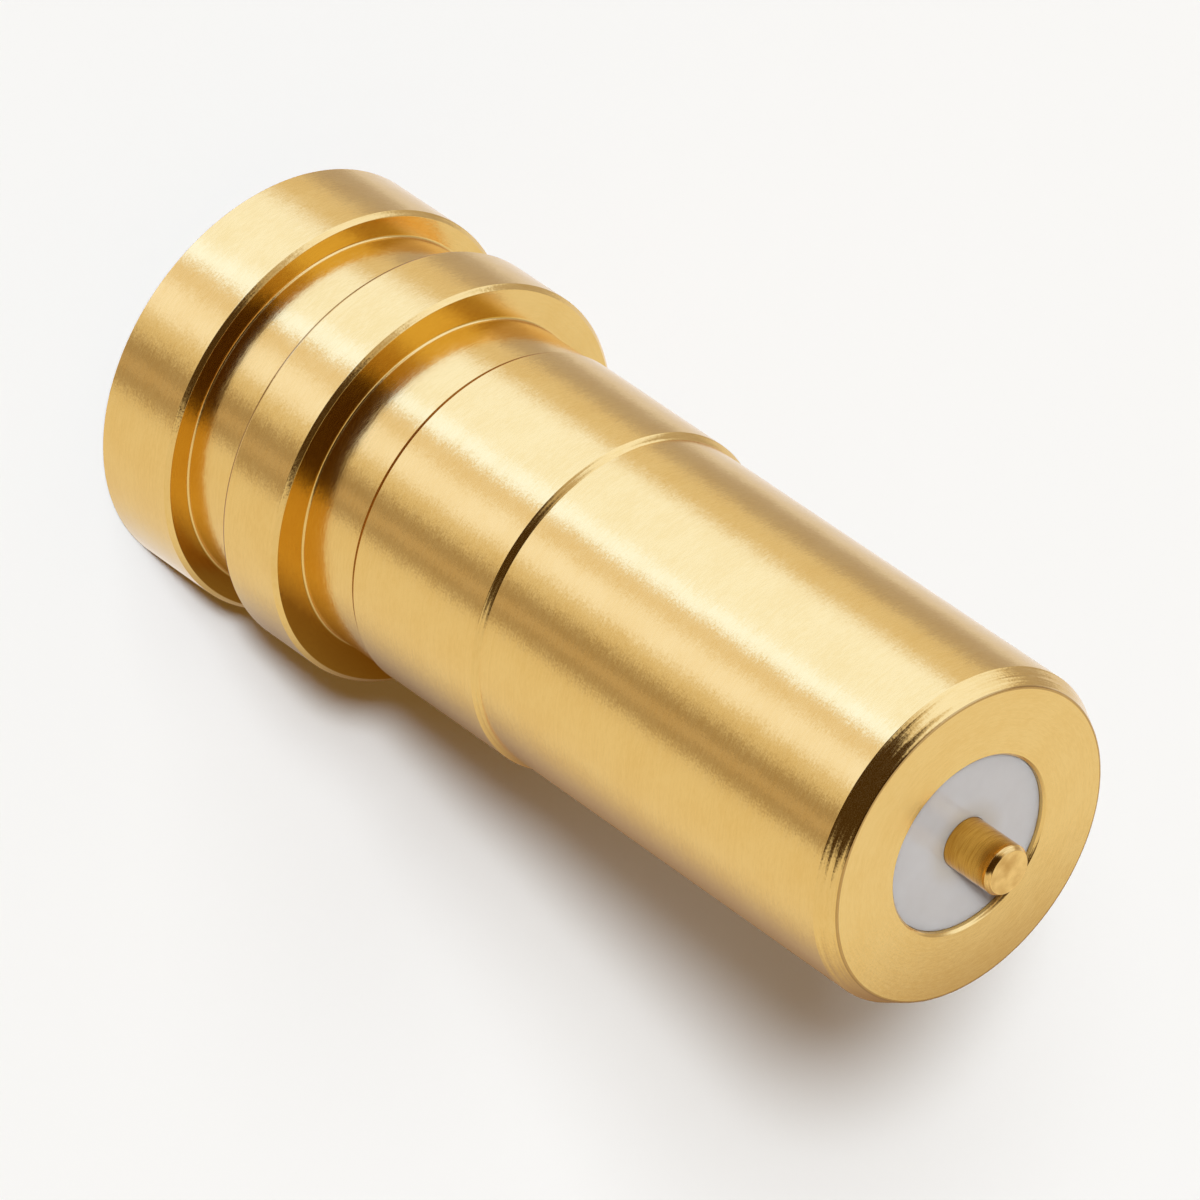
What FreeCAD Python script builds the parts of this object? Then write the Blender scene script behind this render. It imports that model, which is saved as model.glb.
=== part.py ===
import FreeCAD, Part
import os
import re

import Sketcher

# Coaxial connector with a sprung centre pin. Its axis is +Z, towards the pin, and it stands
# on the rear face of its flange at z = 0. Lengths are in millimetres.

doc = FreeCAD.newDocument("FuzzButtonConnector")

# Driving sizes
driving = [
    ("barrelDiameter", 6.40, "long barrel, outside"),
    ("barrelLength", 8.65, "long barrel, between its step and its nose"),
    ("landStep", 0.105, "press land above the barrel, on the radius"),
    ("landLength", 3.24, "press land, along the axis"),
    ("landTaper", 0.01, "press land's lead taper, on the radius"),
    ("waistDepth", 0.05, "relief below the press land, on the radius"),
    ("waistLength", 1.36, "relief between the press land and the collar, width"),
    ("collarStep", 0.65, "collar above the relief, on the radius"),
    ("collarLength", 1.43, "collar, along the axis"),
    ("neckDepth", 0.44, "groove below the collar, on the radius"),
    ("neckLength", 1.49, "groove between the collar and the flange, width"),
    ("flangeStep", 0.485, "rear flange above the groove, on the radius"),
    ("flangeLength", 1.83, "rear flange, along the axis"),
    ("noseLength", 0.38, "bevel at the nose, along the axis"),
    ("noseDepth", 0.20, "bevel at the nose, across the axis"),
    ("rimBevel", 0.08, "bevel on the front rims of flange and collar"),
    ("edgeBreak", 0.04, "small bevel on the rear rims"),
    ("rootRadius", 0.05, "fillet in the corners of the groove and the relief"),
    ("frontWall", 1.50, "wall round the front bore, at the barrel"),
    ("frontBoreLength", 5.50, "front bore, from the nose face to its shoulder"),
    ("mouthBevel", 0.05, "bevel on the mouth of the front bore"),
    ("boreStep", 0.40, "insulators' bore beyond the front bore, on the radius"),
    ("bushSeatStep", 0.40, "bush's seat beyond the insulators' bore, on the radius"),
    ("bushWall", 0.60, "pressed bush, wall"),
    ("bushLength", 1.90, "pressed bush, along the axis"),
    ("bushRecess", 0.25, "bush below the flange's rear face"),
    ("bushBevel", 0.15, "lead bevels on the bush and on its seat"),
    ("seatClearance", 0.01, "insulator to shell, on the radius"),
    ("frontRecess", 0.12, "front insulator below the nose face"),
    ("rearRecess", 0.30, "rear insulator below the flange's rear face"),
    ("rearInsulatorLength", 4.85, "rear insulator, from the bush to the bead"),
    ("insulatorBevel", 0.06, "bevels on the insulators' ends"),
    ("beadLength", 2.00, "bead, along the axis"),
    ("wadDiameter", 1.27, "wire wad, outside"),
    ("wadLength", 3.60, "wire wad, along the axis"),
    ("wadRecess", 0.15, "rear wad's end, above the flange's rear face"),
    ("wadClearance", 0.015, "wad in its hole, on the radius"),
    ("hollowDepth", 0.06, "hollow between the wad's turns, on the radius"),
    ("hollowSpacing", 0.60, "hollow between the wad's turns, spacing"),
    ("rodClearance", 0.02, "centre rod in its hole, on the radius"),
    ("rodReach", 0.70, "centre rod beyond the bead"),
    ("rodCollarStep", 0.27, "ring on the rod, above it on the radius"),
    ("rodCollarLength", 0.50, "ring on the rod, along the axis"),
    ("rodCollarClearance", 0.02, "ring in the bead, on the radius"),
    ("rodBevel", 0.08, "bevels on the rod's ends"),
    ("pinDiameter", 0.96, "sprung pin, free end"),
    ("pinReach", 0.98, "sprung pin, beyond the nose face"),
    ("pinTipLength", 0.10, "bevel on the pin's tip, along the axis"),
    ("pinTipDepth", 0.06, "bevel on the pin's tip, across the axis"),
    ("pinShoulderLength", 0.80, "pin's shoulder, along the axis"),
    ("pinShoulderBevel", 0.06, "bevels on the pin's shoulder"),
    ("runningClearance", 0.02, "pin in the insulator, on the radius"),
    ("shoulderClearance", 0.03, "pin's shoulder in its hole, on the radius"),
]

sizes = doc.addObject("Spreadsheet::Sheet", "Sizes")
for row, (alias, value, meaning) in enumerate(driving, start=1):
    sizes.set(f"A{row}", meaning)
    sizes.set(f"B{row}", str(value))
    sizes.setAlias(f"B{row}", alias)
doc.recompute()
aliases = [alias for alias, value, meaning in driving]

# Diameters that follow from the driving sizes
landDiameter = "(barrelDiameter + 2 * landStep)"
waistDiameter = f"({landDiameter} - 2 * waistDepth)"
collarDiameter = f"({waistDiameter} + 2 * collarStep)"
neckDiameter = f"({collarDiameter} - 2 * neckDepth)"
flangeDiameter = f"({neckDiameter} + 2 * flangeStep)"
frontBore = "(barrelDiameter - 2 * frontWall)"
mainBore = f"({frontBore} + 2 * boreStep)"
bushDiameter = f"({mainBore} + 2 * bushSeatStep)"
bushBore = f"({bushDiameter} - 2 * bushWall)"
contactBore = "(wadDiameter + 2 * wadClearance)"
rodDiameter = f"({contactBore} - 2 * rodClearance)"
rodCollarDiameter = f"({rodDiameter} + 2 * rodCollarStep)"
pinShoulderDiameter = f"({contactBore} - 2 * shoulderClearance)"
frontFit = f"({frontBore} - 2 * seatClearance)"
mainFit = f"({mainBore} - 2 * seatClearance)"
bushFit = f"({bushBore} - 2 * seatClearance)"

# Places along the axis, from the flange's rear face
flangeFront = "flangeLength"
neckFront = f"({flangeFront} + neckLength)"
collarFront = f"({neckFront} + collarLength)"
waistFront = f"({collarFront} + waistLength)"
landFront = f"({waistFront} + landLength)"
barrelRear = f"({landFront} + landStep)"
barrelFront = f"({barrelRear} + barrelLength)"
noseFace = f"({barrelFront} + noseLength)"
boreShoulder = f"({noseFace} - frontBoreLength)"
bushFront = "(bushRecess + bushLength)"
beadRear = f"({bushFront} + rearInsulatorLength)"
beadFront = f"({beadRear} + beadLength)"
rodCollarRear = f"({beadFront} - rodCollarLength)"
rearWadFront = "(wadRecess + wadLength)"
rodFront = f"({beadFront} + rodReach)"
frontWadFront = f"({rodFront} + wadLength)"
pinStop = f"({frontWadFront} + pinShoulderLength)"
insulatorFace = f"({noseFace} - frontRecess)"
pinTip = f"({noseFace} + pinReach)"


def bound(words):
    """The expression, with each size's name pointing into the sheet."""
    return re.sub(r"\b(" + "|".join(aliases) + r")\b", r"Sizes.\1", words)


def number(words):
    """The expression's value now."""
    value = sizes.evalExpression(bound(words))
    return float(getattr(value, "Value", value))


def newBody(name):
    """An empty body whose label is its node's name."""
    body = doc.addObject("PartDesign::Body", name)
    body.Label = name
    return body


def originPlane(body, role):
    """One of the body's own origin planes."""
    return next(feature for feature in body.Origin.OriginFeatures if feature.Role == role)


def axialSketch(body, name, corners):
    """A closed outline in the XZ plane. Each corner is a pair: distance from the axis, height."""
    sketch = body.newObject("Sketcher::SketchObject", name)
    sketch.AttachmentSupport = (originPlane(body, "XZ_Plane"), [""])
    sketch.MapMode = "FlatFace"
    points = [FreeCAD.Vector(number(radius), number(height), 0) for radius, height in corners]
    count = len(points)
    for index in range(count):
        sketch.addGeometry(Part.LineSegment(points[index], points[(index + 1) % count]), False)
    for index in range(count):
        sketch.addConstraint(Sketcher.Constraint("Coincident", index, 2, (index + 1) % count, 1))
    for index, (radius, height) in enumerate(corners):
        if radius == "0":
            sketch.addConstraint(Sketcher.Constraint("PointOnObject", index, 1, -2))
        else:
            place = sketch.addConstraint(Sketcher.Constraint("DistanceX", -1, 1, index, 1, points[index].x))
            sketch.setExpression(f"Constraints[{place}]", bound(radius))
        if height == "0":
            sketch.addConstraint(Sketcher.Constraint("PointOnObject", index, 1, -1))
        else:
            place = sketch.addConstraint(Sketcher.Constraint("DistanceY", -1, 1, index, 1, points[index].y))
            sketch.setExpression(f"Constraints[{place}]", bound(height))
    return sketch


def turn(body, kind, name, corners):
    """Turns an outline about the axis: PartDesign::Revolution adds it, PartDesign::Groove cuts it away."""
    sketch = axialSketch(body, name + "Outline", corners)
    feature = body.newObject(kind, name)
    feature.Profile = sketch
    feature.ReferenceAxis = (sketch, ["V_Axis"])
    feature.Angle = 360
    doc.recompute()
    return feature


def roundSketch(body, name, diameter, height):
    """A circle about the axis at a height."""
    sketch = body.newObject("Sketcher::SketchObject", name)
    sketch.AttachmentSupport = (originPlane(body, "XY_Plane"), [""])
    sketch.MapMode = "FlatFace"
    sketch.setExpression("AttachmentOffset.Base.z", bound(height))
    centre = FreeCAD.Vector(0, 0, 0)
    sketch.addGeometry(Part.Circle(centre, FreeCAD.Vector(0, 0, 1), number(diameter) / 2), False)
    sketch.addConstraint(Sketcher.Constraint("Coincident", 0, 3, -1, 1))
    place = sketch.addConstraint(Sketcher.Constraint("Diameter", 0, number(diameter)))
    sketch.setExpression(f"Constraints[{place}]", bound(diameter))
    return sketch


def disc(body, kind, name, diameter, low, high):
    """A round length between two heights: PartDesign::Pad adds it, PartDesign::Pocket cuts it away."""
    feature = body.newObject(kind, name)
    feature.Profile = roundSketch(body, name + "Circle", diameter, low)
    feature.Reversed = kind == "PartDesign::Pocket"
    feature.setExpression("Length", bound(f"{high} - {low}"))
    doc.recompute()
    return feature


def ringEdges(feature, rings):
    """Names of the round edges that have the given diameters and heights."""
    near = 1e-4
    names = []
    for diameter, height in rings:
        radius = number(diameter) / 2
        level = number(height)
        for place, edge in enumerate(feature.Shape.Edges, start=1):
            curve = edge.Curve
            if not isinstance(curve, Part.Circle):
                continue
            if abs(curve.Radius - radius) < near and abs(curve.Center.z - level) < near:
                names.append(f"Edge{place}")
    return names


def bevel(body, name, base, rings, size):
    """A 45 degree bevel on the given rings."""
    feature = body.newObject("PartDesign::Chamfer", name)
    feature.Base = (base, ringEdges(base, rings))
    feature.setExpression("Size", bound(size))
    doc.recompute()
    return feature


def fillet(body, name, base, rings, radius):
    """A round on the given rings."""
    feature = body.newObject("PartDesign::Fillet", name)
    feature.Base = (base, ringEdges(base, rings))
    feature.setExpression("Radius", bound(radius))
    doc.recompute()
    return feature


# Outer shell: one turned brass piece with a flange, a groove, a relief, a press land and a bevelled nose
def makeShell():
    body = newBody("outer_shell")
    beyond = flangeDiameter
    turn(body, "PartDesign::Revolution", "blank", [
        ("0", "0"),
        (f"{flangeDiameter} / 2", "0"),
        (f"{flangeDiameter} / 2", neckFront),
        (f"{collarDiameter} / 2", neckFront),
        (f"{collarDiameter} / 2", collarFront),
        (f"{landDiameter} / 2", collarFront),
        (f"{landDiameter} / 2 - landTaper", landFront),
        ("barrelDiameter / 2", barrelRear),
        ("barrelDiameter / 2", barrelFront),
        ("barrelDiameter / 2 - noseDepth", noseFace),
        ("0", noseFace),
    ])
    turn(body, "PartDesign::Groove", "neck", [
        (f"{neckDiameter} / 2", flangeFront),
        (beyond, flangeFront),
        (beyond, neckFront),
        (f"{neckDiameter} / 2", neckFront),
    ])
    turned = turn(body, "PartDesign::Groove", "waist", [
        (f"{waistDiameter} / 2", collarFront),
        (beyond, collarFront),
        (beyond, waistFront),
        (f"{waistDiameter} / 2", waistFront),
    ])
    roots = [
        (neckDiameter, flangeFront),
        (neckDiameter, neckFront),
        (waistDiameter, collarFront),
    ]
    rounded = fillet(body, "grooveRoots", turned, roots, "rootRadius")
    frontRims = [(flangeDiameter, flangeFront), (collarDiameter, collarFront)]
    bevelled = bevel(body, "frontRims", rounded, frontRims, "rimBevel")
    rearRims = [(flangeDiameter, "0"), (collarDiameter, neckFront), (landDiameter, waistFront)]
    bevel(body, "rearRims", bevelled, rearRims, "edgeBreak")
    disc(body, "PartDesign::Pocket", "frontBoreCut", frontBore, boreShoulder, noseFace)
    disc(body, "PartDesign::Pocket", "mainBoreCut", mainBore, bushFront, boreShoulder)
    bored = disc(body, "PartDesign::Pocket", "bushSeatCut", bushDiameter, "0", bushFront)
    mouth = bevel(body, "mouthEdge", bored, [(frontBore, noseFace)], "mouthBevel")
    bevel(body, "seatLead", mouth, [(bushDiameter, "0")], "bushBevel")
    return body


# Front insulator: fills the bore behind the nose, guides the pin and stops its shoulder
def makeFrontInsulator():
    body = newBody("front_insulator")
    disc(body, "PartDesign::Pad", "body", mainFit, beadFront, boreShoulder)
    disc(body, "PartDesign::Pad", "nose", frontFit, boreShoulder, insulatorFace)
    pinHole = "(pinDiameter + 2 * runningClearance)"
    disc(body, "PartDesign::Pocket", "pinHole", pinHole, pinStop, insulatorFace)
    drilled = disc(body, "PartDesign::Pocket", "contactHole", contactBore, beadFront, pinStop)
    bevel(body, "bodyEnds", drilled, [(mainFit, beadFront), (mainFit, boreShoulder)], "insulatorBevel")
    return body


# Centre bead: stiff insulator with a seat for the rod's ring
def makeBead():
    body = newBody("centre_bead")
    disc(body, "PartDesign::Pad", "ring", mainFit, beadRear, beadFront)
    disc(body, "PartDesign::Pocket", "rodHole", contactBore, beadRear, rodCollarRear)
    seat = f"({rodCollarDiameter} + 2 * rodCollarClearance)"
    drilled = disc(body, "PartDesign::Pocket", "ringSeat", seat, rodCollarRear, beadFront)
    bevel(body, "ends", drilled, [(mainFit, beadRear), (mainFit, beadFront)], "insulatorBevel")
    return body


# Rear insulator: shouldered, held by the bush, with a hole for the bare wad
def makeRearInsulator():
    body = newBody("rear_insulator")
    disc(body, "PartDesign::Pad", "body", mainFit, bushFront, beadRear)
    disc(body, "PartDesign::Pad", "tail", bushFit, "rearRecess", bushFront)
    drilled = disc(body, "PartDesign::Pocket", "contactHole", contactBore, "rearRecess", beadRear)
    bevel(body, "ends", drilled, [(mainFit, beadRear), (bushFit, "rearRecess")], "insulatorBevel")
    return body


# Retaining bush: pressed into the flange behind the insulators
def makeBush():
    body = newBody("retaining_bush")
    disc(body, "PartDesign::Pad", "ring", bushDiameter, "bushRecess", bushFront)
    drilled = disc(body, "PartDesign::Pocket", "hole", bushBore, "bushRecess", bushFront)
    bevel(body, "leads", drilled, [(bushDiameter, bushFront), (bushBore, "bushRecess")], "bushBevel")
    return body


# Centre rod: fixed inner conductor between the two wads, with a ring that locates it in the bead
def makeRod():
    body = newBody("centre_rod")
    turned = turn(body, "PartDesign::Revolution", "rod", [
        ("0", rearWadFront),
        (f"{rodDiameter} / 2", rearWadFront),
        (f"{rodDiameter} / 2", rodCollarRear),
        (f"{rodCollarDiameter} / 2", rodCollarRear),
        (f"{rodCollarDiameter} / 2", beadFront),
        (f"{rodDiameter} / 2", beadFront),
        (f"{rodDiameter} / 2", rodFront),
        ("0", rodFront),
    ])
    bevel(body, "ends", turned, [(rodDiameter, rearWadFront), (rodDiameter, rodFront)], "rodBevel")
    return body


# Sprung pin: a bevelled nose that stands out of the insulator and a shoulder that keeps it in
def makePin():
    body = newBody("contact_pin")
    turned = turn(body, "PartDesign::Revolution", "pin", [
        ("0", frontWadFront),
        (f"{pinShoulderDiameter} / 2", frontWadFront),
        (f"{pinShoulderDiameter} / 2", pinStop),
        ("pinDiameter / 2", pinStop),
        ("pinDiameter / 2", f"{pinTip} - pinTipLength"),
        ("pinDiameter / 2 - pinTipDepth", pinTip),
        ("0", pinTip),
    ])
    rims = [(pinShoulderDiameter, frontWadFront), (pinShoulderDiameter, pinStop)]
    bevel(body, "shoulderEdges", turned, rims, "pinShoulderBevel")
    return body


# Wire wad: a cylinder of crushed wire, with V-shaped hollows between its outer turns
def makeWad(name, rear):
    body = newBody(name)
    disc(body, "PartDesign::Pad", "wad", "wadDiameter", rear, f"({rear} + wadLength)")
    first = f"({rear} + hollowSpacing)"
    outside = "wadDiameter / 2 + hollowDepth"
    hollow = turn(body, "PartDesign::Groove", "hollow", [
        ("wadDiameter / 2 - hollowDepth", first),
        (outside, f"{first} + 2 * hollowDepth"),
        (outside, f"{first} - 2 * hollowDepth"),
    ])
    hollows = round(number("wadLength / hollowSpacing")) - 1
    pattern = body.newObject("PartDesign::LinearPattern", "hollows")
    pattern.Originals = [hollow]
    pattern.Direction = (hollow.Profile[0], ["V_Axis"])
    pattern.setExpression("Length", bound(f"hollowSpacing * {hollows - 1}"))
    pattern.Occurrences = hollows
    body.Tip = pattern
    doc.recompute()
    return body


pieces = [
    makeShell(),
    makeFrontInsulator(),
    makeBead(),
    makeRearInsulator(),
    makeBush(),
    makeRod(),
    makePin(),
    makeWad("front_fuzz_button", rodFront),
    makeWad("rear_fuzz_button", "wadRecess"),
]
doc.recompute()

# Every object must have computed, and every piece must be one valid solid
for item in doc.Objects:
    if "Invalid" in item.State or "Error" in item.State:
        raise RuntimeError(f"{item.Label} did not compute: {item.State}")
for piece in pieces:
    if piece.Shape.isNull() or not piece.Shape.isValid() or len(piece.Shape.Solids) != 1:
        raise RuntimeError(f"{piece.Label} is not one valid solid")

os.makedirs("parts", exist_ok=True)
for piece in pieces:
    piece.Shape.exportStep(f"parts/{piece.Label}.step")
    box = piece.Shape.BoundBox
    heights = f"from z {box.ZMin:.3f} to {box.ZMax:.3f}"
    print(piece.Label, f"volume {piece.Shape.Volume:.3f}", heights)
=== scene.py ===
import math

import bpy
import numpy as np
from mathutils import Matrix


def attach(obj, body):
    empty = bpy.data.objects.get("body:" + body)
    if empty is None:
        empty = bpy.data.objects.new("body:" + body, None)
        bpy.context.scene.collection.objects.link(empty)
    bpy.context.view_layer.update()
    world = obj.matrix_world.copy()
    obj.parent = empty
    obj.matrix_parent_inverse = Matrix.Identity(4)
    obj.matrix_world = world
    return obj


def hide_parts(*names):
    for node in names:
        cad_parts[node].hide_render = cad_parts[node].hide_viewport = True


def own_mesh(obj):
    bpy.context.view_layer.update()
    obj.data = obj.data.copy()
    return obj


# Coaxial connector with a sprung centre pin. It stands on its rear flange, with its axis along +Z.
# Sizes are in millimetres in the dictionaries and become metres in the meshes.
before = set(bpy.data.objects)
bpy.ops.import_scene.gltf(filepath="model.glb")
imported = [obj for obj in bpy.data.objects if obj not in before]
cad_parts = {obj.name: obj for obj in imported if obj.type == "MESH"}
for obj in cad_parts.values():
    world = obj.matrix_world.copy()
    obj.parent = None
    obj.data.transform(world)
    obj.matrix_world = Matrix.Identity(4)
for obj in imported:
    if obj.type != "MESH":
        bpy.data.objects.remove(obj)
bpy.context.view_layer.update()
print("frame loaded with", len(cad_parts), "nodes")


# Camera at the photograph's angle, in millimetres; right, up and back are its own axes
camera = {
    "place": (0.1189, -151.7368, 126.3327),
    "right": (-0.566395, 0.504063, 0.652010),
    "up": (-0.824134, -0.346423, -0.448101),
    "back": (0.0, -0.791146, 0.611628),
    "lens": 331.17,
    "sensor": 36,
    "clip": (0.01, 20),
}


def makeCamera():
    data = bpy.data.cameras.new("camera")
    data.sensor_width = camera["sensor"]
    data.lens = camera["lens"]
    data.clip_start, data.clip_end = camera["clip"]
    view = bpy.data.objects.new("camera", data)
    bpy.context.scene.collection.objects.link(view)
    axes = zip(camera["right"], camera["up"], camera["back"], camera["place"])
    rows = [[r, u, b, p / 1000] for r, u, b, p in axes]
    view.matrix_world = Matrix(rows + [[0, 0, 0, 1]])
    bpy.context.scene.camera = view


makeCamera()
print("camera placed")


# Node helpers

def newMaterial(name):
    material = bpy.data.materials.new(name)
    material.use_nodes = True
    material.node_tree.nodes.clear()
    return material, material.node_tree


# Adds a node, sets its properties and fills its inputs: a socket is linked, anything else is a value
def addNode(tree, kind, inputs=None, **settings):
    node = tree.nodes.new("ShaderNode" + kind)
    for key, value in settings.items():
        setattr(node, key, value)
    for key, value in (inputs or {}).items():
        if isinstance(value, bpy.types.NodeSocket):
            tree.links.new(value, node.inputs[key])
        else:
            node.inputs[key].default_value = value
    return node


def mathNode(tree, operation, a, b=0.0, c=0.0):
    return addNode(tree, "Math", {0: a, 1: b, 2: c}, operation=operation).outputs[0]


def vectorNode(tree, operation, a, b=(0, 0, 0)):
    node = addNode(tree, "VectorMath", {0: a, 1: b}, operation=operation)
    return node.outputs["Value"] if operation in ("DOT_PRODUCT", "LENGTH") else node.outputs["Vector"]


# Vector times a number or a number's socket
def scaled(tree, vector, factor):
    node = addNode(tree, "VectorMath", {0: vector, "Scale": factor}, operation="SCALE")
    return node.outputs["Vector"]


# A smooth step from 0 at "low" to 1 at "high", which may be the smaller of the two
def smoothRange(tree, value, low, high):
    inputs = {"Value": value, "From Min": low, "From Max": high}
    node = addNode(tree, "MapRange", inputs, interpolation_type="SMOOTHSTEP")
    return node.outputs["Result"]


def mixColour(tree, factor, a, b):
    node = addNode(tree, "Mix", data_type="RGBA")
    for key, value in (("Factor", factor), ("A", a), ("B", b)):
        socket = next(s for s in node.inputs if s.enabled and s.name == key)
        if isinstance(value, bpy.types.NodeSocket):
            tree.links.new(value, socket)
        else:
            socket.default_value = value if key == "Factor" else (*value[:3], 1)
    return next(s for s in node.outputs if s.enabled)


def noise(tree, vector, scale=1.0, detail=2.0, roughness=0.5):
    inputs = {"Vector": vector, "Scale": scale, "Detail": detail, "Roughness": roughness}
    return addNode(tree, "TexNoise", inputs).outputs["Fac"]


# Noise about 0 instead of about its middle
def evenNoise(tree, vector, scale=1.0, detail=2.0):
    return mathNode(tree, "SUBTRACT", noise(tree, vector, scale, detail), 0.5)


# Turned surfaces. A radius under "onAxis", in millimetres, is a point on the axis.
onAxis = 1e-6


# An outline of straight runs whose corners are arcs. Each corner is (radius, height, round). Its arc is
# centre +- round * n(t), where n(t) turns from one run's normal to the next one's, and starts one tangent
# length, round * tan(turn / 2), before the corner. Walking with the material on the left, a run along
# (dr, dz) has the normal (dz, -dr). Returns points, normals and distances along the outline.
def roundedOutline(corners, closed, steps=6):
    points, normals = [], []
    count = len(corners)
    for place, (radius, height, rounding) in enumerate(corners):
        here = np.array([radius, height])
        atEnd = not closed and place in (0, count - 1)
        before = np.array(corners[place - 1][:2]) if closed or place else None
        after = np.array(corners[(place + 1) % count][:2]) if closed or place < count - 1 else None
        if atEnd:
            run = after - here if before is None else here - before
            run = run / np.hypot(*run)
            points.append(here[None])
            normals.append(np.array([[run[1], -run[0]]]))
            continue
        first = (here - before) / np.hypot(*(here - before))
        second = (after - here) / np.hypot(*(after - here))
        turn = math.atan2(first[0] * second[1] - first[1] * second[0], first @ second)
        tangent = rounding * math.tan(abs(turn) / 2)
        start = math.atan2(-first[0], first[1])
        angles = start + turn * np.linspace(0, 1, steps)
        fan = np.stack([np.cos(angles), np.sin(angles)], 1)
        side = math.copysign(1, turn)
        centre = here - first * tangent - side * rounding * fan[0]
        points.append(centre + side * rounding * fan)
        normals.append(fan)
    points, normals = np.concatenate(points), np.concatenate(normals)
    gaps = np.hypot(*np.diff(points, axis=0).T)
    return points, normals, np.concatenate([[0], np.cumsum(gaps)])


# A surface of revolution, closed round the axis. A point of the outline at (radius, height) becomes
# (radius cos a, radius sin a, height), with a from 0 to 2 pi, and its normal turns with it. An end at the
# radius 0 is one point. The UV map holds the share of the turn and the distance along the outline in
# millimetres.
def turnedPiece(name, corners, closed, around):
    points, normals, along = roundedOutline(corners, closed)
    rings = np.flatnonzero(points[:, 0] > onAxis)
    angle = 2 * np.pi * np.arange(around) / around
    circle = np.stack([np.cos(angle), np.sin(angle)], 1)
    radius, height = points[rings].T
    ring = radius[:, None, None] * circle[None]
    tall = np.broadcast_to(height[:, None, None], (len(rings), around, 1))
    vertices = np.concatenate([ring, tall], 2).reshape(-1, 3)
    lean = normals[rings]
    sideways = lean[:, 0][:, None, None] * circle[None]
    upright = np.broadcast_to(lean[:, 1][:, None, None], (len(rings), around, 1))
    vertexNormals = np.concatenate([sideways, upright], 2).reshape(-1, 3)
    bands = len(rings) if closed else len(rings) - 1
    band, step = np.meshgrid(np.arange(bands), np.arange(around), indexing="ij")
    nextBand, nextStep = (band + 1) % len(rings), (step + 1) % around
    quads = np.stack([band * around + step, band * around + nextStep,
                      nextBand * around + nextStep, nextBand * around + step], -1).reshape(-1, 4)
    distance = along[rings]
    total = along[-1] + (np.hypot(*(points[0] - points[-1])) if closed else 0)
    topDistance = np.append(distance, total)[band + 1] if closed else distance[nextBand]
    low, high = distance[band], topDistance
    left, right = step / around, (step + 1) / around
    quadUv = np.stack([left, low, right, low, right, high, left, high], -1).reshape(-1, 4, 2)
    loops, sizes, uv = [quads.reshape(-1)], [np.full(len(quads), 4)], [quadUv.reshape(-1, 2)]
    extra, extraNormals = [], []
    for place in (0, len(points) - 1):
        if closed or points[place, 0] > onAxis:
            continue
        pole = len(vertices) + len(extra)
        extra.append([0, 0, points[place, 1]])
        extraNormals.append([0, 0, normals[place, 1]])
        row = 0 if place == 0 else (len(rings) - 1) * around
        here, there = row + np.arange(around), row + (np.arange(around) + 1) % around
        tip = np.full(around, pole)
        order = [tip, there, here] if place == 0 else [here, there, tip]
        loops.append(np.stack(order, 1).reshape(-1))
        sizes.append(np.full(around, 3))
        fan = np.stack([np.tile([0.5, 0.5, 0.5], (around, 1)), np.full((around, 3), along[place])], -1)
        uv.append(fan.reshape(-1, 2))
    if extra:
        vertices = np.concatenate([vertices, extra])
        vertexNormals = np.concatenate([vertexNormals, extraNormals])
    loops, sizes, uv = np.concatenate(loops), np.concatenate(sizes), np.concatenate(uv)
    return meshPiece(name, vertices, loops, sizes, uv, vertexNormals)


# A mesh in metres from whole arrays: corners in millimetres, the faces' corner numbers and the faces' sizes
def meshPiece(name, vertices, loops, sizes, uv=None, normals=None, uvName="turning"):
    mesh = bpy.data.meshes.new(name)
    mesh.vertices.add(len(vertices))
    mesh.vertices.foreach_set("co", (np.asarray(vertices) / 1000).astype(np.float32).ravel())
    mesh.loops.add(len(loops))
    mesh.loops.foreach_set("vertex_index", np.asarray(loops, np.int32))
    mesh.polygons.add(len(sizes))
    starts = np.concatenate([[0], np.cumsum(sizes)[:-1]]).astype(np.int32)
    mesh.polygons.foreach_set("loop_start", starts)
    mesh.polygons.foreach_set("use_smooth", np.ones(len(sizes), bool))
    if uv is not None:
        layer = mesh.uv_layers.new(name=uvName)
        layer.data.foreach_set("uv", np.asarray(uv, np.float32).ravel())
    mesh.update(calc_edges=True)
    mesh.validate()
    if normals is not None:
        mesh.normals_split_custom_set_from_vertices(np.asarray(normals, np.float32))
    piece = bpy.data.objects.new(name, mesh)
    bpy.context.scene.collection.objects.link(piece)
    return piece


# Gives a piece its material, its place in the object and its body
def dress(piece, material, node, body="housing"):
    piece.data.materials.append(material)
    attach(piece, body)
    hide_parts(node)


# Gold plate over turned brass. "shifts" move the noise along, so that each kind of line has its own, and
# "details" are the noise's octaves.
gold = {
    "colour": (0.93, 0.625, 0.215),
    "deepColour": (0.89, 0.575, 0.18),
    "roughness": 0.19,
    "roughnessSpread": 0.10,
    "anisotropy": 0.35,
    "anisotropyTurn": 0.25,
    "lineSpacing": 0.03,
    "lineLength": 0.15,
    "lineTilt": 0.065,
    "ringSpacing": 0.045,
    "ringLength": 3.0,
    "ringTilt": 0.015,
    "grainSize": 0.036,
    "grainTilt": 0.10,
    "cloudSize": 0.5,
    "cloudTilt": 0.03,
    "patchScale": 1.3,
    "shifts": {"hairlines": 0.0, "otherHairlines": 37.0, "rings": 11.0, "deepRings": 23.0},
    "details": {"hairlines": 3.0, "otherHairlines": 2.0, "rings": 2.0, "deepRings": 1.0, "grain": 1.0},
    "ringShade": 0.5,
    "patchShade": 0.8,
    "shadeRange": (-0.35, 0.3),
    "bump": 0.06,
    "bumpHeight": 0.00001,
    "sideFade": 0.15,
    "zones": {},
}


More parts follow.
